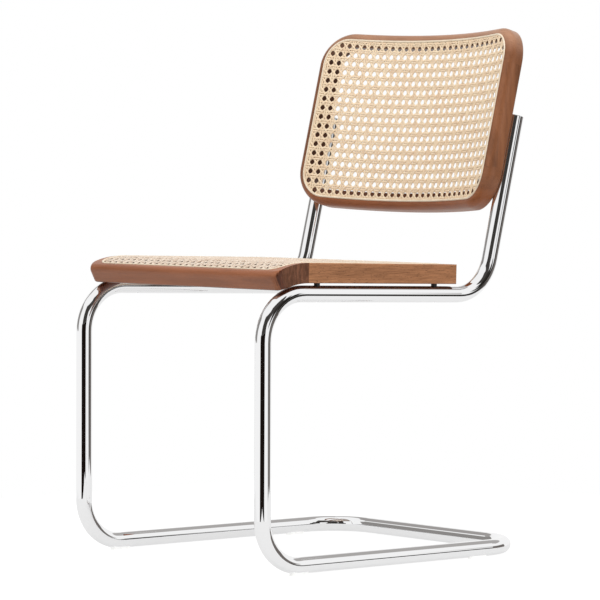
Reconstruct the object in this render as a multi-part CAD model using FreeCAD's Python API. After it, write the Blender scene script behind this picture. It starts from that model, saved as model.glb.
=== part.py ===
"""Cantilever dining chair: one bent chromed tube carries a wooden seat frame
and a curved wooden back frame, both filled with cane webbing."""
import FreeCAD, Part
import os
from math import sin, cos, tan, sqrt, radians, pi
from FreeCAD import Vector as V

# Tube frame
tube_diameter = 25.0
tube_wall = 2.0
tube_spacing = 438.0          # between the centre lines of the two sides
seat_tube_height = 417.4      # centre line over the floor, where it meets the front legs
seat_slope = 1.33             # degrees that the seat tubes fall towards the back
rear_corner_depth = 439.0     # front legs to the corner under the back
base_depth = 527.0            # front legs to the rear floor bar
recline = 13.8                # degrees that the uprights lean back
upright_length = 282.0        # from the corner to the cut end
side_bend_radius = 70.0
floor_corner_radius = 75.0

# Floor glides and end caps
glide_thickness = 2.0
glide_length = 34.0
glide_width = 11.0
glide_wrap = 2.5              # how far a glide climbs round the tube
glide_corner = 4.0
glide_front_place = 71.0      # centre of a front glide behind the front legs
glide_rear_place = 430.0
glide_stem_diameter = 5.0
glide_stem_length = 8.0
cap_thickness = 2.0
cap_rounding = 1.2
cap_plug_length = 12.0
plug_clearance = 0.05

# Seat frame
seat_width = 461.0
seat_front = 10.0             # nose of the front rail behind the front legs
seat_rear = 373.0
seat_thickness = 30.0
seat_joint = 77.0             # where the front rail meets the side rails
side_rail_width = 40.0
rear_rail_width = 40.0
nose_dip_radius = 139.0       # top of the front rail, curving down to the nose
belly_dip_radius = 117.0      # underside of the front rail
nose_rounding = 9.0
nose_undercut = 14.0          # the front face leans in by this much
toe_rounding = 4.0            # lower edge of the front face
nose_corner_radius = 12.0
rail_edge_rounding = 2.0
seat_rim = 11.5               # wood outside the cane
seat_rim_front = 12.0         # the same along the front
seat_cane_corner_radius = 22.0

# Back frame
back_width = 460.0
back_bottom = 132.0           # along the uprights, from their lower corner
back_top = 421.0
back_curve_radius = 621.5     # of the front face, hollow towards the sitter
back_thickness = 31.0
back_corner_radius = 58.0
back_front_rounding = 13.0
back_rear_rounding = 5.0
back_rim_end = 11.2           # wood outside the cane, above and below it
back_rim_side = 15.1          # the same at the two sides
back_cane_corner_radius = 44.0
back_opening_margin = 14.0    # wood behind the cane, inside its outer edge
back_stile_margin = 8.8       # the same at the two sides
back_joint_drop = 4.0         # a stile ends this far past the corner's round
tube_seat_depth = 1.0         # groove in the wood that the upright beds in
tube_seat_clearance = 0.5     # over the top of the end cap

# Cane and its grooves
groove_width = 5.0
groove_depth = 6.0
cane_thickness = 1.2
spline_clearance = 0.1
spline_rise = 0.6
edge_tuck = 0.5               # the spline and the cane stop this far above the groove's floor
seat_mesh_pitch = 22.0
seat_mesh_gap = 12.6
back_mesh_pitch = 19.0
back_mesh_gap = 10.9
mesh_border = 4.0             # plain cane inside the groove

# Fasteners
screw_diameter = 5.0
screw_head_diameter = 9.0
screw_head_height = 3.0
screw_socket = 3.0            # across the flats of the hexagon key
screw_hole_clearance = 0.4
access_hole_diameter = 10.0   # in the outer wall, for the head and its key
thread_clearance = 0.05
insert_diameter = 8.0
insert_length = 13.0
insert_hole_bottom = 1.0      # the hole is this much deeper than the insert
seat_screw_grip = 11.0        # screw length inside the insert
spacer_diameter = 9.0
spacer_height = 3.5
seat_screw_front = 102.5
seat_screw_rear = 336.5
back_screw_low = 30.0         # above the lower edge of the back
back_screw_high = 20.0        # below the cut end of the upright
seat_dowel_diameter = 8.0
seat_dowel_length = 40.0
back_dowel_diameter = 6.0
back_dowel_length = 36.0
dowel_clearance = 0.05
dowel_cover = 2.0             # wood between a dowel and the nearest face

# Places that follow from the sizes above
tube_radius = tube_diameter / 2
half_spacing = tube_spacing / 2
runner_height = glide_thickness + tube_radius
rear_corner_height = seat_tube_height - rear_corner_depth * tan(radians(seat_slope))
half_seat = seat_width / 2
seat_bottom = tube_radius + spacer_height
seat_top = seat_bottom + seat_thickness
seat_screw_x = half_spacing
half_back = back_width / 2
back_rear_radius = back_curve_radius + back_thickness
tube_to_curve_centre = back_rear_radius - tube_seat_depth + tube_radius
curve_centre = sqrt(tube_to_curve_centre ** 2 - half_spacing ** 2)
back_joint_low = back_bottom + back_corner_radius + back_joint_drop
back_joint_high = back_top - back_corner_radius - back_joint_drop
cap_top = upright_length + cap_thickness
reach = 1000.0                # longer than any piece, for cutting tools

seat_place = FreeCAD.Placement(V(0, 0, seat_tube_height),
                               FreeCAD.Rotation(V(1, 0, 0), -seat_slope))
back_place = FreeCAD.Placement(V(0, rear_corner_depth, rear_corner_height),
                               FreeCAD.Rotation(V(1, 0, 0), -recline))


def placed(shape, placement):
    """The shape moved from its own level frame into the chair."""
    moved = shape.copy()
    moved.Placement = placement.multiply(moved.Placement)
    return moved


def both_sides(shape):
    """The shape and its mirror image on the other side of the chair."""
    return [shape, shape.mirror(V(0, 0, 0), V(1, 0, 0))]


def rod(radius, start, direction, length):
    return Part.makeCylinder(radius, length, start, direction)


def rounded_path(points, radii):
    """Straight runs between the points, joined by tangent arcs."""
    edges = []
    start = points[0]
    for before, corner, after, radius in zip(points, points[1:], points[2:], radii):
        into = (before - corner).normalize()
        out = (after - corner).normalize()
        half_angle = into.getAngle(out) / 2
        setback = radius / tan(half_angle)
        bisector = (into + out).normalize()
        centre = corner + bisector * (radius / sin(half_angle))
        arc_start = corner + into * setback
        arc_end = corner + out * setback
        edges.append(Part.LineSegment(start, arc_start).toShape())
        edges.append(Part.Arc(arc_start, centre - bisector * radius, arc_end).toShape())
        start = arc_end
    edges.append(Part.LineSegment(start, points[-1]).toShape())
    return Part.Wire(edges)


def swept_rod(path, radius):
    start = path.Edges[0].valueAt(path.Edges[0].FirstParameter)
    direction = path.Edges[0].tangentAt(path.Edges[0].FirstParameter)
    profile = Part.Wire(Part.makeCircle(radius, start, direction))
    return path.makePipeShell([profile], True, False)


def upright_point(height):
    """A point on the centre line of the right upright, this far from its lower corner."""
    return back_place.multVec(V(half_spacing, 0, height))


def frame_path():
    """Centre line of the one bent tube, from one upright's cut end to the other's."""
    def side(x):
        top = upright_point(upright_length)
        return [V(x, top.y, top.z),
                V(x, rear_corner_depth, rear_corner_height),
                V(x, 0, seat_tube_height),
                V(x, 0, runner_height),
                V(x, base_depth, runner_height)]
    radii = [side_bend_radius] * 3 + [floor_corner_radius]
    right = side(half_spacing)
    left = side(-half_spacing)
    return rounded_path(right + left[::-1], radii + radii[::-1])


def outline(low_a, high_a, low_b, high_b, radius, point):
    """Rounded rectangle as a wire; point(a, b) turns its two coordinates into a vertex."""
    diagonal = radius * (1 - sin(radians(45)))
    corners = [
        ((high_a, high_b - radius), (high_a - diagonal, high_b - diagonal), (high_a - radius, high_b)),
        ((low_a + radius, high_b), (low_a + diagonal, high_b - diagonal), (low_a, high_b - radius)),
        ((low_a, low_b + radius), (low_a + diagonal, low_b + diagonal), (low_a + radius, low_b)),
        ((high_a - radius, low_b), (high_a - diagonal, low_b + diagonal), (high_a, low_b + radius)),
    ]
    edges = []
    for corner, following in zip(corners, corners[1:] + corners[:1]):
        edges.append(Part.Arc(*[point(*ab) for ab in corner]).toShape())
        edges.append(Part.LineSegment(point(*corner[2]), point(*following[0])).toShape())
    return Part.Wire(edges)


def octagon(centre_a, centre_b, across, point):
    """Octagon with flat sides on the two axes, this wide across its flats."""
    half = across / 2
    short = half * tan(radians(22.5))
    signs = [(1, 1), (-1, 1), (-1, -1), (1, -1)]
    vertices = []
    for index, (sa, sb) in enumerate(signs):
        pair = [(sa * half, sb * short), (sa * short, sb * half)]
        vertices += pair if index % 2 == 0 else pair[::-1]
    return Part.makePolygon([point(centre_a + a, centre_b + b) for a, b in vertices + vertices[:1]])


def mesh_places(half_a, half_b, corner_radius, gap, pitch):
    """Centres of the gaps that lie whole inside a rounded rectangle."""
    def row(half):
        count = int((2 * half - gap) // pitch) + 1
        return [pitch * (index - (count - 1) / 2) for index in range(count)]

    def inside(a, b):
        past_a = abs(a) - half_a + corner_radius
        past_b = abs(b) - half_b + corner_radius
        if past_a <= 0 or past_b <= 0:
            return True
        return sqrt(past_a ** 2 + past_b ** 2) + gap / 2 <= corner_radius
    return [(a, b) for a in row(half_a) for b in row(half_b) if inside(a, b)]


def make_tube(path, outside):
    tube = outside.cut(swept_rod(path, tube_radius - tube_wall))
    wall_section = pi * (tube_radius ** 2 - (tube_radius - tube_wall) ** 2)
    print("tube: volume %.0f, wall section times length %.0f" % (tube.Volume, wall_section * path.Length))
    holes = []
    hole_radius = (screw_diameter + screw_hole_clearance) / 2
    screw_lines = [(point, V(0, 0, 1), seat_place) for point in seat_screw_points()]
    screw_lines += [(point, direction, back_place) for point, direction in back_screw_lines()]
    for centre, direction, placement in screw_lines:
        holes += both_sides(placed(rod(hole_radius, centre, direction, tube_diameter), placement))
        holes += both_sides(placed(rod(access_hole_diameter / 2, centre, direction * -1, tube_diameter),
                                   placement))
    for y in (glide_front_place, glide_rear_place):
        holes += both_sides(rod(glide_stem_diameter / 2, V(half_spacing, y, 0), V(0, 0, 1), runner_height))
    return tube.cut(holes)


def back_screw_lines():
    """Where each back screw crosses the upright's centre line, and its direction into the wood."""
    direction = V(-half_spacing, -curve_centre, 0).normalize()
    heights = (back_bottom + back_screw_low, upright_length - back_screw_high)
    return [(V(half_spacing, 0, height), direction) for height in heights]


def upright_line():
    """The tube's outer surface along the right upright, in the back's own frame."""
    return rod(tube_radius, V(half_spacing, 0, 0), V(0, 0, 1), cap_top + tube_seat_clearance)


def make_cap():
    head = rod(tube_radius, V(half_spacing, 0, upright_length), V(0, 0, 1), cap_thickness)
    rim = [edge for edge in head.Edges
           if edge.Closed and abs(edge.CenterOfMass.z - cap_top) < cap_thickness / 4]
    head = head.makeFillet(cap_rounding, rim)
    plug = rod(tube_radius - tube_wall - plug_clearance,
               V(half_spacing, 0, upright_length - cap_plug_length), V(0, 0, 1), cap_plug_length)
    return placed(head.fuse(plug).removeSplitter(), back_place)


def make_glide(y, outside):
    """Thin pad under a runner, shaped to the tube and held by a stem in its wall."""
    low = V(half_spacing - glide_width / 2, y - glide_length / 2, 0)
    pad = Part.makeBox(glide_width, glide_length, glide_thickness + glide_wrap, low)
    upright = [edge for edge in pad.Edges if edge.BoundBox.ZLength > glide_thickness]
    pad = pad.makeFillet(glide_corner, upright).cut(outside)
    stem = rod(glide_stem_diameter / 2, V(half_spacing, y, glide_thickness / 2), V(0, 0, 1),
               glide_stem_length)
    return pad.fuse(stem)


def dip(depth_behind_joint, radius):
    """How far a surface that leaves the joint level has curved down at this distance."""
    return radius - sqrt(radius ** 2 - depth_behind_joint ** 2)


def front_rail_section(x, nose, foot):
    """Section of the front rail: level at the joint, curved down to a rounded nose and toe."""
    def top(y):
        return V(x, y, seat_top - dip(seat_joint - y, nose_dip_radius))

    def under(y):
        return V(x, y, seat_bottom - dip(seat_joint - y, belly_dip_radius))
    def rounding(start, corner, end):
        return Part.Arc(start, start * 0.3 + corner * 0.4 + end * 0.3, end).toShape()
    tip = top(nose)
    toe = under(foot)
    over = top(nose + nose_rounding)
    below = tip + (toe - tip).normalize() * nose_rounding
    above = toe + (tip - toe).normalize() * toe_rounding
    behind = under(foot + toe_rounding)
    return Part.Wire([
        Part.LineSegment(under(seat_joint), top(seat_joint)).toShape(),
        Part.Arc(top(seat_joint), top((seat_joint + nose + nose_rounding) / 2), over).toShape(),
        rounding(over, tip, below),
        Part.LineSegment(below, above).toShape(),
        rounding(above, toe, behind),
        Part.Arc(behind, under((foot + toe_rounding + seat_joint) / 2), under(seat_joint)).toShape(),
    ])


def make_front_rail():
    """Board across the front; its face turns round the two corners into the ends."""
    ends = []
    for angle in (0, 15, 30, 45, 60, 75, 90):
        x = half_seat - nose_corner_radius * (1 - sin(radians(angle)))
        nose = seat_front + nose_corner_radius * (1 - cos(radians(angle)))
        ends.append((x, nose, nose + nose_undercut))
    sections = [front_rail_section(-x, nose, foot) for x, nose, foot in ends[::-1]]
    sections += [front_rail_section(x, nose, foot) for x, nose, foot in ends]
    return Part.makeLoft(sections, True, True)


def seat_prism(inset):
    """Upright prism over the cane's outline, drawn in by the inset."""
    wire = outline(-half_seat + seat_rim + inset, half_seat - seat_rim - inset,
                   seat_front + seat_rim_front + inset, seat_rear - seat_rim - inset,
                   seat_cane_corner_radius - inset, lambda x, y: V(x, y, -reach))
    return Part.Face(wire).extrude(V(0, 0, 2 * reach))


def seat_layer(upper, lower):
    """Slab that follows the seat's top, between two depths below it."""
    centre = V(0, seat_joint, seat_top - nose_dip_radius)
    lean = radians(40)

    def on_arc(angle, depth):
        radius = nose_dip_radius - depth
        return V(-half_seat, centre.y - radius * sin(angle), centre.z + radius * cos(angle))

    def level(depth):
        return V(-half_seat, seat_rear + seat_rim, seat_top - depth)
    edges = [
        Part.LineSegment(level(upper), on_arc(0, upper)).toShape(),
        Part.Arc(on_arc(0, upper), on_arc(lean / 2, upper), on_arc(lean, upper)).toShape(),
        Part.LineSegment(on_arc(lean, upper), on_arc(lean, lower)).toShape(),
        Part.Arc(on_arc(lean, lower), on_arc(lean / 2, lower), on_arc(0, lower)).toShape(),
        Part.LineSegment(on_arc(0, lower), level(lower)).toShape(),
        Part.LineSegment(level(lower), level(upper)).toShape(),
    ]
    return Part.Face(Part.Wire(edges)).extrude(V(seat_width, 0, 0))


def cane_parts(prism, layer, gaps):
    """Groove and rebate to cut from the wood, the cane, and the spline that wedges its edge."""
    clear_above = groove_depth
    fold = groove_width - cane_thickness
    groove = prism(0).cut(prism(groove_width)).common(layer(-clear_above, groove_depth))
    rebate = prism(groove_width).common(layer(-clear_above, cane_thickness))
    sheet = prism(fold).common(layer(0, cane_thickness)).cut(gaps)
    edge = prism(fold).cut(prism(groove_width)).common(layer(0, groove_depth - edge_tuck))
    spline = prism(spline_clearance).cut(prism(fold))
    spline = spline.common(layer(-spline_rise, groove_depth - edge_tuck))
    return groove.fuse(rebate), sheet.fuse(edge), spline


def seat_gaps():
    """The openings of the seat's mesh, as one group of prisms."""
    plain = groove_width + mesh_border
    near = seat_front + seat_rim_front + plain
    far = seat_rear - seat_rim - plain
    middle = (near + far) / 2
    places = mesh_places(half_seat - seat_rim - plain, (far - near) / 2,
                         seat_cane_corner_radius - plain, seat_mesh_gap, seat_mesh_pitch)
    wires = [octagon(x, middle + y, seat_mesh_gap, lambda a, b: V(a, b, 0)) for x, y in places]
    return [Part.Face(wire).extrude(V(0, 0, 2 * seat_top)) for wire in wires]


def seat_dowels():
    """Two dowels in each corner joint, lengthwise at the front and crosswise at the rear."""
    radius = seat_dowel_diameter / 2
    half = seat_dowel_length / 2
    z = seat_top - groove_depth - dowel_cover - radius
    inner = half_seat - side_rail_width
    lines = []
    for x in (inner + dowel_cover + radius, inner + 3 * (dowel_cover + radius)):
        lines.append((V(x, seat_joint - half, z), V(0, 1, 0)))
    for y in (dowel_cover + radius, 3 * (dowel_cover + radius)):
        lines.append((V(inner - half, seat_rear - rear_rail_width + dowel_cover * 2 + y, z), V(1, 0, 0)))
    return radius, seat_dowel_length, lines


def drilled_dowels(radius, length, lines):
    """The dowels on both sides, and the slightly wider holes for them."""
    dowels = []
    holes = []
    for start, direction in lines:
        dowels += both_sides(rod(radius, start, direction, length))
        holes += both_sides(rod(radius + dowel_clearance, start - direction * dowel_clearance,
                                direction, length + 2 * dowel_clearance))
    return dowels, holes


def seat_screw_points():
    return [V(seat_screw_x, y, 0) for y in (seat_screw_front, seat_screw_rear)]


def make_screw(centre, direction, length_past_tube):
    """Screw from inside the tube: its head beds on the wall towards the wood, under the access hole."""
    bore = tube_radius - tube_wall
    head_start = centre + direction * (bore - screw_head_height)
    along = V(0, 1, 0) if abs(direction.z) > 0.5 else V(0, 0, 1)
    head = rod(screw_head_diameter / 2, head_start, direction, screw_head_height)
    head = head.common(rod(bore, centre - along * screw_head_diameter, along, 2 * screw_head_diameter))
    shank = rod(screw_diameter / 2, head_start, direction, screw_head_height + tube_wall + length_past_tube)
    across = along.cross(direction).normalize()
    corner_distance = screw_socket / 2 / cos(radians(30))
    corners = [head_start + across * (corner_distance * cos(radians(60 * step)))
               + along * (corner_distance * sin(radians(60 * step))) for step in range(6)]
    socket = Part.Face(Part.makePolygon(corners + corners[:1])).extrude(direction * (screw_head_height * 0.7))
    return head.fuse(shank).cut(socket)


def make_insert(mouth, direction):
    """Threaded bush in the wood, and the hole that it sits in."""
    body = rod(insert_diameter / 2, mouth, direction, insert_length)
    bush = body.cut(rod(screw_diameter / 2 + thread_clearance, mouth, direction, insert_length))
    hole = rod(insert_diameter / 2, mouth - direction * tube_seat_depth, direction,
               tube_seat_depth + insert_length + insert_hole_bottom)
    return bush, hole


def make_spacer(point):
    ring = rod(spacer_diameter / 2, point, V(0, 0, 1), seat_bottom)
    ring = ring.cut(rod(tube_radius, point - V(0, reach / 2, 0), V(0, 1, 0), reach))
    return ring.cut(rod((screw_diameter + screw_hole_clearance) / 2, point, V(0, 0, 1), seat_bottom))


def make_seat(parts):
    """Seat rails, cane, spline, dowels and seat fixings, in the seat's own level frame."""
    groove, cane, spline = cane_parts(seat_prism, seat_layer, seat_gaps())
    dowels, dowel_holes = drilled_dowels(*seat_dowels())
    up = V(0, 0, 1)
    screws, inserts, insert_holes, spacers = [], [], [], []
    for point in seat_screw_points():
        screws += both_sides(make_screw(point, up, spacer_height + seat_screw_grip))
        bush, hole = make_insert(point + up * seat_bottom, up)
        inserts += both_sides(bush)
        insert_holes += both_sides(hole)
        spacers += both_sides(make_spacer(point))

    side = Part.makeBox(side_rail_width, seat_rear - seat_joint, seat_thickness,
                        V(half_seat - side_rail_width, seat_joint, seat_bottom))
    outer_edges = [edge for edge in side.Edges
                   if abs(edge.CenterOfMass.x - half_seat) < 0.1 and edge.CenterOfMass.y > seat_joint + 1]
    side = side.makeFillet(rail_edge_rounding, outer_edges)
    rear = Part.makeBox(seat_width - 2 * side_rail_width, rear_rail_width, seat_thickness,
                        V(side_rail_width - half_seat, seat_rear - rear_rail_width, seat_bottom))
    rear_edges = [edge for edge in rear.Edges
                  if abs(edge.CenterOfMass.y - seat_rear) < 0.1 and edge.BoundBox.XLength > 1]
    rear = rear.makeFillet(rail_edge_rounding, rear_edges)
    right, left = both_sides(side)
    cuts = [groove] + dowel_holes + insert_holes
    rails = {"seat_front_rail": make_front_rail(), "seat_rear_rail": rear,
             "seat_side_rail_left": left, "seat_side_rail_right": right}
    for name, rail in rails.items():
        parts[name] = placed(rail.cut(cuts), seat_place)
    parts["seat_cane"] = placed(cane, seat_place)
    parts["seat_spline"] = placed(spline, seat_place)
    for name, group in (("seat_dowels", dowels), ("seat_screws", screws),
                        ("seat_inserts", inserts), ("seat_spacers", spacers)):
        parts[name] = placed(Part.makeCompound(group), seat_place)


def back_prism(inset):
    """Prism through the back over the cane's outline, drawn in by the inset."""
    side = half_back - back_rim_side - inset
    end = back_rim_end + inset
    wire = outline(-side, side, back_bottom + end, back_top - end,
                   back_cane_corner_radius - inset, lambda x, z: V(x, -reach, z))
    return Part.Face(wire).extrude(V(0, 2 * reach, 0))


def curved_layer(inner_radius, outer_radius):
    """Upright wall curved about the centre in front of the back."""
    centre = V(0, -curve_centre, back_bottom - back_rim_end)
    height = back_top - back_bottom + 2 * back_rim_end
    wall = rod(outer_radius, centre, V(0, 0, 1), height).cut(rod(inner_radius, centre, V(0, 0, 1), height))
    rear_half = Part.makeBox(2 * reach, reach, reach, V(-reach, -curve_centre, 0))
    return wall.common(rear_half)


def back_layer(upper, lower):
    """Curved slab between two depths behind the front face."""
    return curved_layer(back_curve_radius + upper, back_curve_radius + lower)


def back_ring():
    """The whole back frame before it is parted into rails and stiles."""
    def prism(margin_side, margin_end, radius):
        wire = outline(-half_back + margin_side, half_back - margin_side,
                       back_bottom + margin_end, back_top - margin_end,
                       radius, lambda x, z: V(x, -reach, z))
        return Part.Face(wire).extrude(V(0, 2 * reach, 0))
    ring = curved_layer(back_curve_radius, back_rear_radius).common(prism(0, 0, back_corner_radius))

    def rim_edges(radius):
        return [edge for edge in ring.Edges if all(
            abs(sqrt(vertex.X ** 2 + (vertex.Y + curve_centre) ** 2) - radius) < 0.01
            for vertex in edge.Vertexes)]
    ring = ring.makeFillet(back_front_rounding, rim_edges(back_curve_radius))
    side = back_rim_side + back_stile_margin
    end = back_rim_end + back_opening_margin
    ring = ring.cut(prism(side, end, back_cane_corner_radius - back_opening_margin))
    return ring.makeFillet(back_rear_rounding, rim_edges(back_rear_radius))


def back_gaps():
    """The openings of the back's mesh, as one group of prisms."""
    plain = groove_width + mesh_border
    middle = (back_bottom + back_top) / 2
    places = mesh_places(half_back - back_rim_side - plain,
                         (back_top - back_bottom) / 2 - back_rim_end - plain,
                         back_cane_corner_radius - plain, back_mesh_gap, back_mesh_pitch)
    wires = [octagon(x, middle + z, back_mesh_gap, lambda a, b: V(a, -curve_centre, b)) for x, z in places]
    return [Part.Face(wire).extrude(V(0, 2 * curve_centre, 0)) for wire in wires]


def back_dowels():
    """Two thin dowels along each stile joint, side by side through the frame's thickness."""
    radius = back_dowel_diameter / 2
    half = back_dowel_length / 2
    x = half_back - (back_rim_side + back_stile_margin) / 2
    front = sqrt(back_curve_radius ** 2 - x ** 2) - curve_centre
    rear = sqrt(back_rear_radius ** 2 - x ** 2) - curve_centre
    places = (front + groove_depth + dowel_cover + radius, rear - tube_seat_depth - dowel_cover - radius)
    lines = [(V(x, y, z - half), V(0, 0, 1)) for y in places for z in (back_joint_low, back_joint_high)]
    return radius, back_dowel_length, lines


def make_back(parts):
    """Back rails, stiles, cane, spline, dowels and back fixings, in the back's own upright frame."""
    groove, cane, spline = cane_parts(back_prism, back_layer, back_gaps())
    dowels, dowel_holes = drilled_dowels(*back_dowels())
    screws, inserts, insert_holes = [], [], []
    for centre, direction in back_screw_lines():
        screws += both_sides(make_screw(centre, direction, seat_screw_grip))
        bush, hole = make_insert(centre + direction * tube_radius, direction)
        inserts += both_sides(bush)
        insert_holes += both_sides(hole)
    ring = back_ring().cut([groove] + dowel_holes + insert_holes + both_sides(upright_line()))

    def between(low, high, x_low, x_high):
        return Part.makeBox(x_high - x_low, 2 * reach, high - low, V(x_low, -reach, low))
    pieces = {
        "back_bottom_rail": between(-reach, back_joint_low, -reach, reach),
        "back_top_rail": between(back_joint_high, reach, -reach, reach),
        "back_stile_left": between(back_joint_low, back_joint_high, -reach, 0),
        "back_stile_right": between(back_joint_low, back_joint_high, 0, reach),
    }
    for name, region in pieces.items():
        parts[name] = placed(ring.common(region), back_place)
    parts["back_cane"] = placed(cane, back_place)
    parts["back_spline"] = placed(spline, back_place)
    for name, group in (("back_dowels", dowels), ("back_screws", screws), ("back_inserts", inserts)):
        parts[name] = placed(Part.makeCompound(group), back_place)


def make_parts():
    path = frame_path()
    outside = swept_rod(path, tube_radius)
    parts = {"tube_frame": make_tube(path, outside)}
    parts["upright_cap_right"], parts["upright_cap_left"] = both_sides(make_cap())
    for place, y in (("front", glide_front_place), ("rear", glide_rear_place)):
        right, left = both_sides(make_glide(y, outside))
        parts["floor_glide_%s_right" % place] = right
        parts["floor_glide_%s_left" % place] = left
    make_seat(parts)
    make_back(parts)
    return parts


def export(parts):
    """One file per piece, with the origin on the floor under the middle of the chair."""
    os.makedirs("parts", exist_ok=True)
    boxes = [parts[name].optimalBoundingBox(False) for name in ("tube_frame", "back_top_rail")]
    to_origin = V(0, -(min(box.YMin for box in boxes) + max(box.YMax for box in boxes)) / 2, 0)
    print("front legs at y = %.3f" % to_origin.y)
    for name, shape in parts.items():
        shape.translate(to_origin)
        print("%-24s solids %2d  volume %10.1f  valid %s" % (name, len(shape.Solids), shape.Volume,
                                                           shape.isValid()))
        shape.exportStep("parts/%s.step" % name)


export(make_parts())
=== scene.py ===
# %% [markdown]
# A cantilever chair, seen as in a product photograph. The solid parts come from the CAD model and
# already stand in their places, so this script gives them their finishes, and it makes the parts
# that a solid can only hint at: the woven cane and the reed that holds it in its groove.

# %% Load the solid parts
import bpy
import bmesh
from math import sin, cos, pi, sqrt, radians
from mathutils import Vector, Matrix


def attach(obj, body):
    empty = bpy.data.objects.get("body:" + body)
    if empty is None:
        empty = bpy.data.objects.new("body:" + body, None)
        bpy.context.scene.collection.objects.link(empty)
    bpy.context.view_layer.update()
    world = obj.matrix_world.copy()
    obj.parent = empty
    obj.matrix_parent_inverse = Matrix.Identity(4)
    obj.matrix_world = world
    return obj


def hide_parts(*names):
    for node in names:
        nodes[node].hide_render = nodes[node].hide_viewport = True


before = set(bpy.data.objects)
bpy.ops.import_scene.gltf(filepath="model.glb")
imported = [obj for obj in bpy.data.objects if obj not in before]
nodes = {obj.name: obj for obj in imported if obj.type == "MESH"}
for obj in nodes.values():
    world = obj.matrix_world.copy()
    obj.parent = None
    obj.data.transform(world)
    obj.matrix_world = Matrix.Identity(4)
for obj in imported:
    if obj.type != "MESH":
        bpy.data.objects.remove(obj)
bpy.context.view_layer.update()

# %% [markdown]
# The camera stands far away with a long lens, as a product photographer's does, so the chair's
# far side is hardly smaller than its near side. It looks down a little, and it is turned by a
# fraction of a degree about its own line of sight.

# %% Camera
camera_place = Vector((4.0841, -3.4599, 0.6053))
camera_turn = radians(49.90)
camera_pitch = radians(2.25)
camera_roll = radians(0.24)
camera_data = bpy.data.cameras.new("camera")
camera_data.lens = 205.99
camera_data.clip_end = 50
camera = bpy.data.objects.new("camera", camera_data)
bpy.context.scene.collection.objects.link(camera)
camera.matrix_world = (Matrix.Translation(camera_place)
                       @ Matrix.Rotation(camera_turn, 4, "Z")
                       @ Matrix.Rotation(pi / 2 - camera_pitch, 4, "X")
                       @ Matrix.Rotation(camera_roll, 4, "Z"))
bpy.context.scene.camera = camera
bpy.context.scene.view_settings.view_transform = "Standard"
print("camera", round(camera_place.length, 2), "m from the chair's foot")

# %% [markdown]
# Every finish and the studio itself are made of shader nodes. A few small helpers add a node with
# its values and links in one call, so that the recipes below read almost like sentences.

# %% Node helpers
def add_node(tree, kind, values=None, **settings):
    """A new node with its settings and the values of its sockets; a socket is linked instead."""
    node = tree.nodes.new(kind)
    for name, value in settings.items():
        setattr(node, name, value)
    for key, value in (values or {}).items():
        if isinstance(value, bpy.types.NodeSocket):
            tree.links.new(value, node.inputs[key])
        else:
            node.inputs[key].default_value = value
    return node


def arithmetic(tree, operation, *values):
    return add_node(tree, "ShaderNodeMath", dict(enumerate(values)), operation=operation).outputs[0]


def split(tree, vector):
    """X, Y and Z of a vector, as three sockets."""
    return add_node(tree, "ShaderNodeSeparateXYZ", {0: vector}).outputs


def soft_step(tree, value, low, high):
    """0 below low, 1 above high, and a smooth rise between."""
    return add_node(tree, "ShaderNodeMapRange", {0: value, 1: low, 2: high},
                    interpolation_type="SMOOTHSTEP").outputs[0]


def within(tree, value, low, high, blur=0.001):
    """1 between low and high, 0 outside."""
    return arithmetic(tree, "MULTIPLY", soft_step(tree, value, low - blur, low + blur),
                      soft_step(tree, value, high + blur, high - blur))


def mix_colours(tree, factor, first, second):
    """first where the factor is 0, second where it is 1; each is three numbers or a socket."""
    ends = [(*end, 1) if isinstance(end, tuple) else end for end in (first, second)]
    return add_node(tree, "ShaderNodeMix", {0: factor, 6: ends[0], 7: ends[1]},
                    data_type="RGBA").outputs[2]


def tint(tree, first, second):
    """One colour multiplied by another."""
    return add_node(tree, "ShaderNodeVectorMath", {0: first, 1: second},
                    operation="MULTIPLY").outputs[0]


def mix_shaders(tree, factor, first, second):
    return add_node(tree, "ShaderNodeMixShader", {0: factor, 1: first, 2: second}).outputs[0]


# %% [markdown]
# Chrome shows nothing but its surroundings, so the studio is part of the chair's look. The walls
# are white all round. The room behind the photographer is dark, almost black at eye level, and
# some grey walls stand at the sides and overhead. Each of these patches is a range of bearings,
# counted from the camera to the right, and of heights, both in degrees. A picture of a studio
# would do the same, but these few numbers say plainly where each dark stripe comes from. The
# world shows the patches in reflections only, so they take no light from the wood and the cane.

# %% World
world = bpy.data.worlds.new("studio")
bpy.context.scene.world = world
world.use_nodes = True
tree = world.node_tree
tree.nodes.clear()
white_walls = (0.95, 0.95, 0.945)
patch_blur = 1.5
patches = [
    # bearings from, to; heights from, to; colour
    (-34, 25, -11, 10, (0.009, 0.006, 0.005)),
    (-28, 22, 9, 42, (0.044, 0.041, 0.038)),
    (14, 62, 20, 48, (0.058, 0.053, 0.050)),
    (46, 72, 6, 24, (0.030, 0.027, 0.024)),
    (68, 79, -5, 14, (0.016, 0.014, 0.012)),
    (77, 94, -7, 4, (0.012, 0.010, 0.009)),
    (-136, -90, 1, 33, (0.27, 0.26, 0.25)),
    (-185, -120, 33, 52, (0.35, 0.335, 0.325)),
    (108, 185, 33, 62, (0.42, 0.405, 0.395)),
    (84, 122, -20, 14, (0.16, 0.145, 0.135)),
    (72, 98, -20, -8, (0.030, 0.028, 0.026)),
]
direction = add_node(tree, "ShaderNodeTexCoord").outputs["Generated"]
height = arithmetic(tree, "DEGREES", arithmetic(tree, "ARCSINE", split(tree, direction)[2]))
camera_side = (sin(camera_turn), -cos(camera_turn), 0.0)
right_side = (cos(camera_turn), sin(camera_turn), 0.0)
towards, rightwards = [
    add_node(tree, "ShaderNodeVectorMath", {0: direction, 1: axis},
             operation="DOT_PRODUCT").outputs["Value"] for axis in (camera_side, right_side)]
bearing = arithmetic(tree, "DEGREES", arithmetic(tree, "ARCTAN2", rightwards, towards))
room = white_walls
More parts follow.
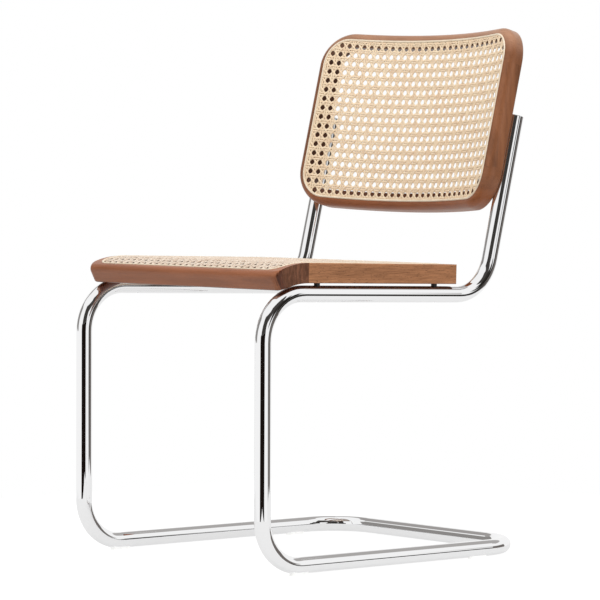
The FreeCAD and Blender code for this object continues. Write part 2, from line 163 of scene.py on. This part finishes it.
for left, right, low, high, colour in patches:
    here = arithmetic(tree, "MULTIPLY", within(tree, bearing, left, right, patch_blur),
                      within(tree, height, low, high, patch_blur))
    room = mix_colours(tree, here, room, colour)
print("studio with", len(patches), "dark patches in the reflections")

# %% Light of the world
pure_white = (1.0, 1.0, 1.0, 1.0)
soft_light_strength = 0.62


def background(tree, colour, strength):
    return add_node(tree, "ShaderNodeBackground",
                    {"Color": colour, "Strength": strength}).outputs[0]


rays = add_node(tree, "ShaderNodeLightPath").outputs
lit = mix_shaders(tree, rays["Is Glossy Ray"], background(tree, pure_white, soft_light_strength),
                  background(tree, room, 1.0))
seen = mix_shaders(tree, rays["Is Camera Ray"], lit, background(tree, pure_white, 1.0))
add_node(tree, "ShaderNodeOutputWorld", {"Surface": seen})
print("world: white for the camera, soft light of strength", soft_light_strength)

# %% [markdown]
# The floor is a sheet of pale paper. For the camera it glows almost white, so that it joins the
# backdrop without an edge, and the light that really falls on it is added to that glow. Where
# the tube keeps this light away, a faint shadow stays. In the chrome the floor shows as white
# paper too, because the underside of each tube reflects it.

# %% Paper
paper_colour = (0.76, 0.76, 0.75, 1)
paper_in_chrome = (0.93, 0.93, 0.925, 1)
glow_part_in_chrome = 0.72
shadow_colour = (0.30, 0.30, 0.30, 1)              # how strongly the real light counts
glow_for_camera = 0.86


def matt(tree, colour):
    return add_node(tree, "ShaderNodeBsdfDiffuse", {"Color": colour}).outputs[0]


def glow(tree, colour, strength):
    return add_node(tree, "ShaderNodeEmission", {"Color": colour, "Strength": strength}).outputs[0]


paper = bpy.data.materials.new("paper")
paper.use_nodes = True
tree = paper.node_tree
tree.nodes.clear()
rays = add_node(tree, "ShaderNodeLightPath").outputs
in_chrome = arithmetic(tree, "MULTIPLY", rays["Is Glossy Ray"], glow_part_in_chrome)
paper_light = mix_shaders(tree, in_chrome, matt(tree, paper_colour),
                          glow(tree, paper_in_chrome, 1.0))
white_with_shadow = add_node(tree, "ShaderNodeAddShader", {
    0: glow(tree, pure_white, glow_for_camera), 1: matt(tree, shadow_colour)}).outputs[0]
add_node(tree, "ShaderNodeOutputMaterial", {
    "Surface": mix_shaders(tree, rays["Is Camera Ray"], paper_light, white_with_shadow)})
print("paper glows with", glow_for_camera, "for the camera")

# %% Floor
bpy.ops.object.select_all(action="DESELECT")
bpy.ops.mesh.primitive_plane_add(size=2.0, location=(0, 0, 0))
floor = bpy.context.object
floor.name = "floor"
floor.data.materials.append(paper)
print("floor", tuple(floor.dimensions))

# %% [markdown]
# Two large soft boxes, one overhead and one at the right, give the wood and the cane gentle
# shading. A large lamp throws a soft shadow. Both stay out of the chrome, where their shapes
# would show as hard white squares that the photograph hasn't got.

# %% Lamps
lamp_target = Vector((0, 0, 0.5))


def soft_lamp(name, place, size, power):
    """A square soft box that shines at the chair and doesn't show in the chrome."""
    data = bpy.data.lights.new(name, "AREA")
    data.size = size
    data.energy = power
    lamp = bpy.data.objects.new(name, data)
    bpy.context.scene.collection.objects.link(lamp)
    lamp.location = place
    lamp.rotation_euler = (lamp_target - Vector(place)).to_track_quat("-Z", "Y").to_euler()
    lamp.visible_glossy = False
    print(name, power, "W")


soft_lamp("lamp_above", place=(0.4, -0.6, 2.6), size=2.0, power=34)
soft_lamp("lamp_side", place=(2.6, 0.6, 1.2), size=1.6, power=12)

# %% [markdown]
# Polished chrome is a mirror with a faint blue-grey tone. Its roughness is small but not zero,
# and it changes a little from place to place, as where a hand has rubbed it. The screws are
# zinc-plated steel and the bushes brass, both left as they come from the lathe, so they are much
# duller. Each is the same shader with its own colour and its own range of roughness.

# %% Material helpers
def principled(name, **values):
    """A material with one Principled shader, its node tree, and the shader."""
    material = bpy.data.materials.new(name)
    material.use_nodes = True
    shader = material.node_tree.nodes["Principled BSDF"]
    for key, value in values.items():
        shader.inputs[key.replace("_", " ")].default_value = value
    return material, material.node_tree, shader


def object_place(tree, scale=(1, 1, 1), location=(0, 0, 0)):
    """Coordinates of the piece in metres, stretched by scale and moved to location."""
    source = add_node(tree, "ShaderNodeTexCoord").outputs["Object"]
    return add_node(tree, "ShaderNodeMapping", {
        "Vector": source, "Scale": scale, "Location": location}).outputs[0]


def noise(tree, place, scale, detail=2.0, roughness=0.5, distortion=0.0):
    return add_node(tree, "ShaderNodeTexNoise", {
        "Vector": place, "Scale": scale, "Detail": detail, "Roughness": roughness,
        "Distortion": distortion}).outputs[0]


def ramp(tree, value, stops):
    """Colours for a value from 0 to 1; stops are (place, colour)."""
    node = add_node(tree, "ShaderNodeValToRGB", {0: value})
    elements = node.color_ramp.elements
    while len(elements) < len(stops):
        elements.new(0.5)
    for element, (place, colour) in zip(elements, stops):
        element.position = place
        element.color = (*colour, 1)
    return node.outputs[0]


def bump(tree, shader, value, strength, distance):
    node = add_node(tree, "ShaderNodeBump", {
        "Strength": strength, "Distance": distance, "Height": value})
    tree.links.new(node.outputs[0], shader.inputs["Normal"])


def set_roughness(tree, shader, value, smoothest, roughest):
    """Roughness that follows a value from 0 to 1."""
    spread = add_node(tree, "ShaderNodeMapRange", {0: value, 3: smoothest, 4: roughest})
    tree.links.new(spread.outputs[0], shader.inputs["Roughness"])


# %% Chrome and other metals
def metal(name, colour, mark_scale, mark_detail, smoothest, roughest):
    material, tree, shader = principled(name, Base_Color=(*colour, 1), Metallic=1.0)
    marks = noise(tree, object_place(tree), mark_scale, mark_detail)
    set_roughness(tree, shader, marks, smoothest, roughest)
    print(name, "roughness", smoothest, "to", roughest)
    return material


chrome = metal("chrome", (0.93, 0.93, 0.94), mark_scale=60.0, mark_detail=3.0,
               smoothest=0.012, roughest=0.028)
steel = metal("zinc_steel", (0.62, 0.62, 0.63), mark_scale=900.0, mark_detail=2.0,
              smoothest=0.25, roughest=0.45)
brass = metal("brass", (0.72, 0.52, 0.24), mark_scale=900.0, mark_detail=2.0,
              smoothest=0.25, roughest=0.45)

# %% [markdown]
# The rings between seat and tube are black plastic, and the pads under the runners a pale,
# milky one. The pads have a painted glow: a little emission of their own lightens them in the
# shade under the tube. It stands in for the light that milky plastic lets through, is cheaper
# than true scattering and looks the same on so small a pad.

# %% Plastics
def moulded(name, grain_scale, grain_detail, dark, pale, relief, relief_depth, **values):
    """Plastic with the fine grain of its mould."""
    material, tree, shader = principled(name, **values)
    grain = noise(tree, object_place(tree), grain_scale, grain_detail)
    tree.links.new(ramp(tree, grain, [(0.3, dark), (0.7, pale)]), shader.inputs["Base Color"])
    bump(tree, shader, grain, relief, relief_depth)
    print(name, "grain", round(1000 / grain_scale, 2), "mm")
    return material


black_plastic = moulded("black_plastic", grain_scale=2000.0, grain_detail=2.0,
                        dark=(0.012, 0.011, 0.011), pale=(0.03, 0.027, 0.027),
                        relief=0.1, relief_depth=0.0002, Roughness=0.45)
# painted glow: the emission lightens the pads in the shade under the tube
glide_plastic = moulded("glide_plastic", grain_scale=700.0, grain_detail=3.0,
                        dark=(0.78, 0.78, 0.77), pale=(0.86, 0.86, 0.85),
                        relief=0.15, relief_depth=0.0003, Roughness=0.35,
                        Emission_Color=(0.95, 0.95, 0.94, 1), Emission_Strength=0.45)

# %% [markdown]
# Some finishes change from place to place on the chair, so the script has to know where the
# seat and the back stand. Each has its own frame: its origin lies on the tube, and its Y or Z
# runs along the tube.

# %% Where the seat and the back stand
seat_origin = Vector((0, -0.275394, 0.4174))       # front end of the seat tubes, between them
seat_slope = radians(1.33)
seat_top = 0.046              # over the seat tubes' centre line
seat_joint = 0.077            # behind the front legs; the top rolls down in front of it
seat_roll_radius = 0.139
back_origin = Vector((0, 0.163606, 0.407208))      # lower end of the uprights, between them
recline = radians(13.8)
back_radius = 0.6215
back_centre = 0.626850        # of the curve, in front of the uprights


def local_place(tree, origin, lean):
    """X, Y and Z of the seat's or the back's own frame."""
    source = add_node(tree, "ShaderNodeTexCoord").outputs["Object"]
    return split(tree, add_node(tree, "ShaderNodeMapping", {
        "Vector": source, "Location": origin, "Rotation": (-lean, 0, 0)},
        vector_type="TEXTURE").outputs[0])


print("seat frame at", tuple(seat_origin), "and back frame at", tuple(back_origin))

# %% [markdown]
# Behind the webbing the wood is almost black, because hardly any light gets in there. A shader
# can't see that the cane will cover it, so a soft mask marks this wood: what lies inside the
# webbing's rounded rectangle, and no deeper than the frame.

# %% Shade behind the webbing
def length_of(tree, a, b):
    return arithmetic(tree, "SQRT", arithmetic(tree, "ADD", arithmetic(tree, "MULTIPLY", a, a),
                                               arithmetic(tree, "MULTIPLY", b, b)))


def inside_panel(tree, a, b, middle, half_a, half_b, radius, blur=0.0008):
    """1 where (a, b) lies within a rounded rectangle round (0, middle)."""
    past = []
    for value, centre, half in ((a, 0.0, half_a), (b, middle, half_b)):
        away = arithmetic(tree, "ABSOLUTE", arithmetic(tree, "SUBTRACT", value, centre))
        beyond = arithmetic(tree, "SUBTRACT", away, half - radius)
        past.append(arithmetic(tree, "MAXIMUM", beyond, 0.0))
    return soft_step(tree, length_of(tree, *past), radius + blur, radius - blur)


def shade_in_seat(tree):
    x, y, z = local_place(tree, seat_origin, seat_slope)
    inside = inside_panel(tree, x, y, middle=0.19175, half_a=0.2155, half_b=0.1662,
                          radius=0.0185)
    in_depth = within(tree, z, low=seat_top - 0.027, high=seat_top + 0.01)
    return arithmetic(tree, "MULTIPLY", inside, in_depth)


def shade_in_back(tree):
    x, y, z = local_place(tree, back_origin, recline)
    inside = inside_panel(tree, x, z, middle=0.2765, half_a=0.2114, half_b=0.1298,
                          radius=0.0405)
    from_axis = length_of(tree, x, arithmetic(tree, "ADD", y, back_centre))
    depth = arithmetic(tree, "SUBTRACT", from_axis, back_radius)
    return arithmetic(tree, "MULTIPLY", inside, within(tree, depth, low=-0.001, high=0.027))


# %% [markdown]
# The pieces took the stain differently, so each has its own brown. The front rail is redder than
# the side rails. Its cut ends show end grain, which drinks stain and turns dark, with thin rings
# in it, and its round corners are darker still. The seat's underside gets a painted shade.
# Normals tell the shader where these ends, corners and the underside are. The back's brown
# changes with height, without a joint between the colours, and its top is paler and greyer with
# a painted sheen.

# %% Stains, painted shade and sheen
plain = (1.0, 1.0, 1.0)       # a tint that changes nothing
side_brown = (0.392, 0.172, 0.077)
front_brown = (0.325, 0.115, 0.050)
# makes the front rail's round corners darker than its flat ends
corner_tint = (0.30, 0.22, 0.18)
flat_end_tint = (0.48, 0.54, 0.64)
# painted shade for the seat's downward faces, which lie in the seat's own shadow
painted_underside_shade = (0.35, 0.22, 0.15)
stile_brown = (0.235, 0.088, 0.036)
# partly a painted sheen: paler and greyer than the stain, as if the bright room glanced off the top
top_brown_with_sheen = (0.385, 0.195, 0.112)
bottom_brown = (0.315, 0.100, 0.032)


def seat_stain_and_shade(tree):
    """Brown of the seat frame, the front rail's dark ends and corners, and painted shade
    underneath.
    """
    y = local_place(tree, seat_origin, seat_slope)[1]
    front = soft_step(tree, y, seat_joint + 0.0002, seat_joint - 0.0002)
    face = mix_colours(tree, front, side_brown, front_brown)
    normal = split(tree, add_node(tree, "ShaderNodeNewGeometry").outputs["Normal"])
    aside = arithmetic(tree, "ABSOLUTE", normal[0])
    cut_end = ramp(tree, aside, [(0.50, plain), (0.80, corner_tint), (0.985, corner_tint),
                                 (0.997, flat_end_tint)])
    rings = noise(tree, object_place(tree, scale=(1, 1, 0.22)), scale=190.0, distortion=0.8)
    ring_tint = ramp(tree, rings, [(0.36, (0.72, 0.70, 0.68)), (0.50, plain),
                                   (0.62, (1.3, 1.3, 1.3))])
    at_end = arithmetic(tree, "MULTIPLY", front, soft_step(tree, aside, 0.45, 0.75))
    ends = mix_colours(tree, at_end, plain, tint(tree, cut_end, ring_tint))
    # painted shade: every face of the seat that looks down is darkened
    under = ramp(tree, soft_step(tree, normal[2], -0.72, -0.90),
                 [(0.0, plain), (1.0, painted_underside_shade)])
    return tint(tree, tint(tree, face, ends), under)


def back_stain_and_sheen(tree):
    """Brown of the back frame: darkest at the sides, paler and greyer on top with a painted sheen,
    redder at the bottom.
    """
    z = local_place(tree, back_origin, recline)[2]
    # towards the top the brown turns paler and greyer, which is a painted sheen
    upper = mix_colours(tree, soft_step(tree, z, 0.372, 0.412), stile_brown, top_brown_with_sheen)
    return mix_colours(tree, soft_step(tree, z, 0.172, 0.140), upper, bottom_brown)


# %% [markdown]
# The wood is a fine, straight-grained hardwood in a mid brown stain under a satin lacquer. Its
# figure has three sizes: broad soft bands, thin fibres, and short dark pores. All three are
# noise that is stretched along the grain, so each piece gets the grain's own direction. A
# picture of wood would look alike on every piece, and noise in Object coordinates doesn't.

# %% Wood
def grey(factor, warmth=0.0):
    """A tint of that lightness, a little warmer or cooler than grey."""
    return (factor * (1 + warmth), factor, factor * (1 - warmth))


def wood(name, grain_axis, stain_and_painted_light, shade, variety=0.28, fibre_part=0.5, pore_depth=0.4,
         shift=(0.0, 0.0, 0.0)):
    """Stained wood with its grain along X, Y or Z; its brown holds painted shade and sheen, and
    shade marks what lies behind the webbing.
    """
    material, tree, shader = principled(name, Specular_IOR_Level=0.35)
    place = object_place(tree, location=shift)

    def along(stretch):
        scale = [1.0, 1.0, 1.0]
        scale["XYZ".index(grain_axis)] = stretch
        return add_node(tree, "ShaderNodeMapping", {"Vector": place, "Scale": scale}).outputs[0]

    bands = noise(tree, along(0.09), scale=60.0, detail=3.0, distortion=0.6)
    fibres = noise(tree, along(0.05), scale=600.0, detail=4.0, roughness=0.6)
    pores = noise(tree, along(0.13), scale=1200.0)
    figure = add_node(tree, "ShaderNodeMix", {0: fibre_part, 2: bands, 3: fibres}).outputs[0]
    grain = ramp(tree, figure, [
        (0.34, grey(1 - variety, 0.05)), (0.46, grey(1 - variety * 0.2)),
        (0.56, grey(1 + variety * 0.3)), (0.68, grey(1 + variety, -0.05))])
    pit = soft_step(tree, pores, 0.60, 0.70)
    pitted = mix_colours(tree, arithmetic(tree, "MULTIPLY", pit, pore_depth), grain, grey(0.3))
    shaded = mix_colours(tree, shade(tree), pitted, grey(0.32, 0.1))
    # this brown holds painted shade under the seat and a painted sheen on the back's top
    tree.links.new(tint(tree, shaded, stain_and_painted_light(tree)), shader.inputs["Base Color"])
    set_roughness(tree, shader, fibres, 0.28, 0.42)
    bump(tree, shader, arithmetic(tree, "SUBTRACT", fibres, pit), 0.08, 0.0003)
    print(name, "grain along", grain_axis)
    return material


wood_front = wood("wood_front", "X", seat_stain_and_shade, shade_in_seat, variety=0.22, fibre_part=0.25,
                  pore_depth=0.15)
wood_rear = wood("wood_rear", "X", seat_stain_and_shade, shade_in_seat, shift=(0.2, 0.5, 0.3))
wood_sides = wood("wood_sides", "Y", seat_stain_and_shade, shade_in_seat, variety=0.40, fibre_part=0.6,
                  pore_depth=0.8, shift=(0.3, 0.1, 0.2))
wood_rails = wood("wood_rails", "X", back_stain_and_sheen, shade_in_back, variety=0.25, fibre_part=0.5,
                  pore_depth=0.3, shift=(0.1, 0.6, 0.4))
wood_stiles = wood("wood_stiles", "Z", back_stain_and_sheen, shade_in_back, variety=0.42, fibre_part=0.3,
                   pore_depth=0.3, shift=(0.7, 0.2, 0.1))

# %% [markdown]
# Cane is the shiny bark of rattan, split into flat strands. Each strand comes from another
# stem, so neighbours differ a little between straw and a warmer, redder tone. Random Per Island
# gives each loose strand its own number, which saves a material for every strand.

# %% Cane and reed
def rattan(name, strand_variety, pale, warm, deep):
    """Peeled rattan; strand_variety says how much one strand differs from the next."""
    material, tree, shader = principled(name, Roughness=0.38, Specular_IOR_Level=0.5)
    island = add_node(tree, "ShaderNodeNewGeometry").outputs["Random Per Island"]
    clouds = noise(tree, object_place(tree), scale=55.0, detail=3.0, roughness=0.6)
    fibres = noise(tree, object_place(tree), scale=1600.0, detail=2.0, roughness=0.6)
    mixture = arithmetic(tree, "ADD", arithmetic(tree, "MULTIPLY", clouds, 0.7),
                         arithmetic(tree, "MULTIPLY", fibres, 0.3))
    strand = arithmetic(tree, "MULTIPLY", island, strand_variety)
    value = arithmetic(tree, "ADD", arithmetic(tree, "SUBTRACT", mixture, strand_variety / 2),
                       strand)
    tree.links.new(ramp(tree, value, [(0.25, deep), (0.45, warm), (0.62, pale)]),
                   shader.inputs["Base Color"])
    bump(tree, shader, fibres, 0.15, 0.0003)
    print(name, "varies by", strand_variety, "from strand to strand")
    return material


back_strands = rattan("cane_back", strand_variety=0.20, pale=(0.90, 0.73, 0.52),
                      warm=(0.87, 0.68, 0.475), deep=(0.79, 0.58, 0.39))
# the same cane as the back's in a darker, greyer copy; its greyness is a painted sheen for the flat
# seat
seat_strands_with_sheen = rattan("cane_seat_with_sheen", strand_variety=0.30, pale=(0.79, 0.67, 0.55),
                      warm=(0.73, 0.59, 0.47), deep=(0.60, 0.45, 0.33))
reed = rattan("reed", strand_variety=0.0, pale=(0.88, 0.76, 0.60),
              warm=(0.83, 0.70, 0.53), deep=(0.75, 0.60, 0.44))

# %% [markdown]
# The solid parts keep their shapes and only take a finish. The tube and its end plugs were
# chromed together. The dowels are hidden in the wood, but they get a finish as well, so that
# the model is complete when it is taken apart.

# %% Give the solid parts their finishes
finishes = {
    "tube_frame": chrome, "upright_cap_left": chrome, "upright_cap_right": chrome,
    "seat_front_rail": wood_front, "seat_rear_rail": wood_rear,
    "seat_side_rail_left": wood_sides, "seat_side_rail_right": wood_sides,
    "back_top_rail": wood_rails, "back_bottom_rail": wood_rails,
    "back_stile_left": wood_stiles, "back_stile_right": wood_stiles,
    "seat_dowels": wood_sides, "back_dowels": wood_stiles,
    "seat_cane": seat_strands_with_sheen, "back_cane": back_strands,
    "seat_spline": reed, "back_spline": reed,
    "seat_spacers": black_plastic, "seat_screws": steel, "back_screws": steel,
    "seat_inserts": brass, "back_inserts": brass,
    "floor_glide_front_left": glide_plastic, "floor_glide_front_right": glide_plastic,
    "floor_glide_rear_left": glide_plastic, "floor_glide_rear_right": glide_plastic,
}
for name, finish in finishes.items():
    nodes[name].data.materials.clear()
    nodes[name].data.materials.append(finish)
print("finishes on", len(finishes), "solid parts of", len(nodes))

# %% [markdown]
# The cane webbing is the old six-way weave. Strands lie in pairs, upright and level, a pitch
# apart, and single strands cross them both ways on the slant, half way between the crossings of
# the pairs. What stays open is an eight-sided hole. A strand is one short piece of flat cane,
# repeated end to end with an Array modifier and then bent up and down where it passes its
# neighbours. Each direction is one such strand, repeated sideways.

# %% Helpers for the strands
strand_width = 0.0029
strand_thickness = 0.0009
strand_rounding = 0.6         # of its top edges, as a part of its thickness
pair_gap = 0.0009             # between the two strands of a pair
wave_height = 0.00050         # how far a strand leaves the middle of the webbing
slant_wave = 1.9              # the slanting strands pass over whole pairs, so they wave higher


def select_only(thing):
    bpy.ops.object.select_all(action="DESELECT")
    thing.select_set(True)
    bpy.context.view_layer.objects.active = thing


def apply_place(thing):
    """Writes the piece's place and turn into its mesh."""
    select_only(thing)
    bpy.ops.object.transform_apply(location=True, rotation=True, scale=True)


def apply_array(thing, count, offset, merge=False):
    """Repeats the piece with an Array modifier and applies it."""
    modifier = thing.modifiers.new("repeat", "ARRAY")
    modifier.count = count
    modifier.use_relative_offset = False
    modifier.use_constant_offset = True
    modifier.constant_offset_displace = offset
    modifier.use_merge_vertices = merge
    modifier.merge_threshold = 0.00001
    bpy.ops.object.modifier_apply(modifier="repeat")


print("strands", strand_width * 1000, "mm wide,", strand_thickness * 1000, "mm thick")


# %% One strand
def make_strand(length, step, period, height, phase):
    """A flat strand along X, rounded on top, that waves up and down with the given period."""
    bpy.ops.object.select_all(action="DESELECT")
    bpy.ops.mesh.primitive_cube_add(size=1)
    strand = bpy.context.object
    strand.scale = (step, strand_width, strand_thickness)
    apply_place(strand)
    bpy.ops.object.mode_set(mode="EDIT")
    mesh = bmesh.from_edit_mesh(strand.data)
    for edge in mesh.edges:
        middle = (edge.verts[0].co + edge.verts[1].co) / 2
        edge.select = middle.z > 0 and abs(middle.x) < step / 4
    bmesh.update_edit_mesh(strand.data)
    bpy.ops.mesh.bevel(offset=strand_thickness * strand_rounding, segments=1)
    mesh = bmesh.from_edit_mesh(strand.data)
    for face in mesh.faces:
        face.select = abs(face.normal.x) > 0.9
    bmesh.update_edit_mesh(strand.data)
    bpy.ops.mesh.delete(type="FACE")
    bpy.ops.object.mode_set(mode="OBJECT")
    count = int(length / step) + 1
    apply_array(strand, count, (step, 0, 0), merge=True)
    start = -step * (count - 1) / 2
    for vertex in strand.data.vertices:
        vertex.co.x += start
        vertex.co.z += height * cos(2 * pi * vertex.co.x / period + phase)
    return strand


# %% The whole webbing, flat
def flat_webbing(name, width, height, pitch):
    """Six-way webbing in the XY plane, a little larger than width by height, round the origin."""
    columns = int(width / pitch / 2) + 2
    rows = int(height / pitch / 2) + 2
    reach_x = pitch * columns
    reach_y = pitch * rows
    beside = (strand_width + pair_gap) / 2
    step = pitch / 3
    families = []

    def lay(strand, turn, place, count, offset):
        strand.rotation_euler = (0, 0, turn)
        strand.location = place
        apply_place(strand)
        apply_array(strand, count, offset)
        families.append(strand)

    for parity in (0, 1):
        for side in (-beside, beside):
            upright = make_strand(2 * reach_y, step, 2 * pitch, wave_height,
                                  pi * (parity + columns))
            lay(upright, pi / 2, (-reach_x + pitch * parity + side, 0, 0), columns,
                (2 * pitch, 0, 0))
            level = make_strand(2 * reach_x, step, 2 * pitch, -wave_height,
                                pi * (parity + rows))
            lay(level, 0, (0, -reach_y + pitch * parity + side, 0), rows, (0, 2 * pitch, 0))
    slant = pitch * sqrt(2)
    length = 2 * min(reach_x, reach_y) * sqrt(2) + 2 * pitch
    count = 2 * (columns + rows)
    first = -pitch * (count - 1) / 2
    for turn in (1, -1):
        diagonal = make_strand(length, slant / 6, slant, wave_height * slant_wave * turn, 0)
        lay(diagonal, turn * pi / 4, (first, 0, 0), count, (pitch, 0, 0))
    bpy.ops.object.select_all(action="DESELECT")
    for family in families:
        family.select_set(True)
    bpy.context.view_layer.objects.active = families[0]
    bpy.ops.object.join()
    webbing = bpy.context.object
    webbing.name = name
    webbing.data.name = name
    print(name, "strand faces before trimming", len(webbing.data.polygons))
    return webbing


# %% [markdown]
# The webbing is cut to the outline of its groove with straight cuts, one after the other, which
# is enough because the outline is convex and the reed hides its edge. Then each point is carried
# onto the surface that the real webbing follows: the hollow front of the back, and the top of
# the seat, which rolls down at its front.

# %% Cut to a rounded outline
def trim(thing, half_width, half_height, corner_radius, corner_cuts=4):
    """Cuts the flat piece to a rounded rectangle round the origin."""
    cuts = [((half_width, 0), (1, 0)), ((0, half_height), (0, 1)),
            ((-half_width, 0), (-1, 0)), ((0, -half_height), (0, -1))]
    for sign_x, sign_y in ((1, 1), (-1, 1), (-1, -1), (1, -1)):
        for step in range(corner_cuts):
            angle = (step + 0.5) * pi / 2 / corner_cuts
            outwards = (sign_x * cos(angle), sign_y * sin(angle))
            cuts.append(((sign_x * (half_width - corner_radius) + corner_radius * outwards[0],
                          sign_y * (half_height - corner_radius) + corner_radius * outwards[1]),
                         outwards))
    select_only(thing)
    bpy.ops.object.mode_set(mode="EDIT")
    for place, outwards in cuts:
        bpy.ops.mesh.select_all(action="SELECT")
        bpy.ops.mesh.bisect(plane_co=(*place, 0), plane_no=(*outwards, 0), clear_outer=True)
    bpy.ops.object.mode_set(mode="OBJECT")
    print(thing.name, "trimmed with", len(cuts), "cuts")


# %% The two surfaces that carry cane
def on_seat(point):
    """From flat (across, back along the surface, up from it) to the seat's top."""
    x, y, lift = point
    if y < seat_joint:
        angle = (seat_joint - y) / seat_roll_radius
        y = seat_joint - (seat_roll_radius + lift) * sin(angle)
        z = seat_top - seat_roll_radius + (seat_roll_radius + lift) * cos(angle)
    else:
        z = seat_top + lift
    return seat_origin + Matrix.Rotation(-seat_slope, 3, "X") @ Vector((x, y, z))


def on_back(point):
    """From flat (across on the curve, up the uprights, out to the sitter) to the back's front."""
    across, up, lift = point
    angle = across / back_radius
    x = (back_radius - lift) * sin(angle)
    y = (back_radius - lift) * cos(angle) - back_centre
    return back_origin + Matrix.Rotation(-recline, 3, "X") @ Vector((x, y, up))


def carry(thing, shift, surface):
    """Moves the flat piece by shift and lays it on the surface."""
    for vertex in thing.data.vertices:
        vertex.co = surface(vertex.co + Vector(shift))
    thing.data.update()


# %% Sizes of the two panels
cane_panels = {
    # half width, half height and corner radius of the groove's outside, the middle's place up
    # or back along the surface, and the weave's own pitch and sideways start
    "back_cane": dict(half_x=0.21946, half_y=0.1333, corner=0.0440, middle=0.2765,
                      pitch_x=0.01477, pitch_y=0.01529, start=0.0015,
                      surface=on_back, finish=back_strands),
    "seat_cane": dict(half_x=0.2190, half_y=0.17052, corner=0.0220, middle=0.19098,
                      pitch_x=0.01477, pitch_y=0.01500, start=0.0,
                      surface=on_seat, finish=seat_strands_with_sheen),
}
even_pitch = 0.015            # at which both are woven, before they are stretched to their own
reed_width = 0.0040
covered_edge = 0.75           # part of the reed's width that no webbing reaches
webbing_lift = -0.0003        # the middle of the webbing lies this far under the wood's surface
webbing_tuck = 0.0016         # its edge dips under the reed by this much
tuck_reach = 0.0055           # within this distance of the groove's outside
sag_start = 0.045             # over the back's middle; from here up its rows hang down a little
sag_middle = 0.01
top_sag = 0.0048
for name, size in cane_panels.items():
    print(name, "flat size", round(2 * size["half_x"], 3), "x", round(2 * size["half_y"], 3), "m")


# %% Stretch, sag and tuck
def stretch_weave(thing, pitch_x, pitch_y, start):
    """Gives the weave its own pitches, with a hole and not a crossing at the middle."""
    for vertex in thing.data.vertices:
        vertex.co.x = vertex.co.x * pitch_x / even_pitch + pitch_x / 2 + start
        vertex.co.y = vertex.co.y * pitch_y / even_pitch + pitch_y / 2


def sag_top_rows(thing, half_width, half_height):
    """Lets the uppermost rows hang down between the two sides."""
    for vertex in thing.data.vertices:
        if vertex.co.y > sag_start:
            across = (vertex.co.x - sag_middle) / half_width
            down = ((vertex.co.y - sag_start) / (half_height - sag_start)) ** 2
            vertex.co.y -= top_sag * down * max(0.0, 1 - across ** 4)


def tuck_edge(thing, half_width, half_height, corner_radius):
    """Bends the outermost few millimetres down into the groove."""
    for vertex in thing.data.vertices:
        past_x = abs(vertex.co.x) - half_width + corner_radius
        past_y = abs(vertex.co.y) - half_height + corner_radius
        if past_x > 0 and past_y > 0:
            inside = corner_radius - sqrt(past_x ** 2 + past_y ** 2)
        else:
            inside = min(half_width - abs(vertex.co.x), half_height - abs(vertex.co.y))
        vertex.co.z -= webbing_tuck * max(0.0, 1 - inside / tuck_reach)


# %% Weave both panels
for name, size in cane_panels.items():
    half_x, half_y, corner = size["half_x"], size["half_y"], size["corner"]
    panel = flat_webbing("woven_" + name, 2 * half_x, 2 * half_y, even_pitch)
    stretch_weave(panel, size["pitch_x"], size["pitch_y"], size["start"])
    if name == "back_cane":
        sag_top_rows(panel, half_x, half_y)
    edge = reed_width * covered_edge
    trim(panel, half_x - edge, half_y - edge, corner - edge)
    tuck_edge(panel, half_x, half_y, corner)
    carry(panel, (0, size["middle"], webbing_lift), size["surface"])
    bpy.ops.object.shade_smooth()
    panel.data.materials.clear()
    panel.data.materials.append(size["finish"])
    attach(panel, "root")
    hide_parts(name)
    print(name, "woven faces", len(panel.data.polygons))

# %% [markdown]
# A round reed is hammered into the groove over the webbing's edge. It starts as a flat plane with
# rounded corners. Its outline becomes a curve with a round section, and that follows the surface.
# The straight sides are cut into short pieces first, because only a point can be carried.

# %% One reed, flat
corner_steps = 12
side_cuts = 40


def make_reed(name, half_width, half_height, corner_radius, thickness):
    """A closed ring of reed, flat, on a rounded rectangle round the origin."""
    bpy.ops.object.select_all(action="DESELECT")
    bpy.ops.mesh.primitive_plane_add(size=1)
    ring = bpy.context.object
    ring.name = name
    ring.scale = (2 * half_width, 2 * half_height, 1)
    apply_place(ring)
    bpy.ops.object.mode_set(mode="EDIT")
    bpy.ops.mesh.select_all(action="SELECT")
    bpy.ops.mesh.bevel(offset=corner_radius, segments=corner_steps, affect="VERTICES")
    bpy.ops.mesh.delete(type="ONLY_FACE")
    mesh = bmesh.from_edit_mesh(ring.data)
    for edge in mesh.edges:
        edge.select = edge.calc_length() > corner_radius
    bmesh.update_edit_mesh(ring.data)
    bpy.ops.mesh.subdivide(number_cuts=side_cuts)
    bpy.ops.object.mode_set(mode="OBJECT")
    bpy.ops.object.convert(target="CURVE")
    ring.data.bevel_depth = thickness / 2
    ring.data.bevel_resolution = 2
    bpy.ops.object.convert(target="MESH")
    return bpy.context.object


# %% Both reeds
reed_sink = -0.0009           # the reed's middle, under the wood's surface
for name, size in cane_panels.items():
    panel_name = name.replace("cane", "spline")
    inset = reed_width / 2
    ring = make_reed("reed_" + panel_name, size["half_x"] - inset, size["half_y"] - inset,
                     size["corner"] - inset, reed_width)
    carry(ring, (0, size["middle"], reed_sink), size["surface"])
    bpy.ops.object.shade_smooth()
    ring.data.materials.clear()
    ring.data.materials.append(reed)
    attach(ring, "root")
    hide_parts(panel_name)
    print(ring.name, "faces", len(ring.data.polygons))
